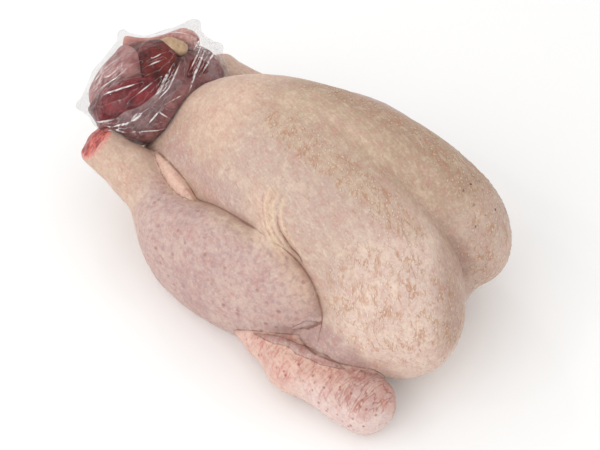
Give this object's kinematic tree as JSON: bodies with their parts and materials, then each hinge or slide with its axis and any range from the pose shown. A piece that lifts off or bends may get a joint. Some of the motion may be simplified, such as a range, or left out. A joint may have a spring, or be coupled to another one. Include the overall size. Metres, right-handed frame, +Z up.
{
  "type": "whole raw turkey",
  "caption": "Whole raw turkey lying breast up with its legs drawn back and a wing spread beside it, and a clear bag of giblets resting between the cut shanks.",
  "frame": {"origin": "middle of the bounding box, on the surface that the bird rests on", "axes": "+X towards the neck end, +Z up from the back to the breast, -Y towards the spread wing"},
  "size_m": [0.378, 0.2596, 0.1588],
  "materials": {
    "skin": "moist bare poultry skin, pale cream pink with tan follicles",
    "film": "thin clear crumpled film over dark red giblets",
    "meat": "wet dark red liver, muscle and pale fat"
  },
  "bodies": {
    "root": {"turkey": "skin", "giblet_bag": "film"}
  },
  "joints": []
}
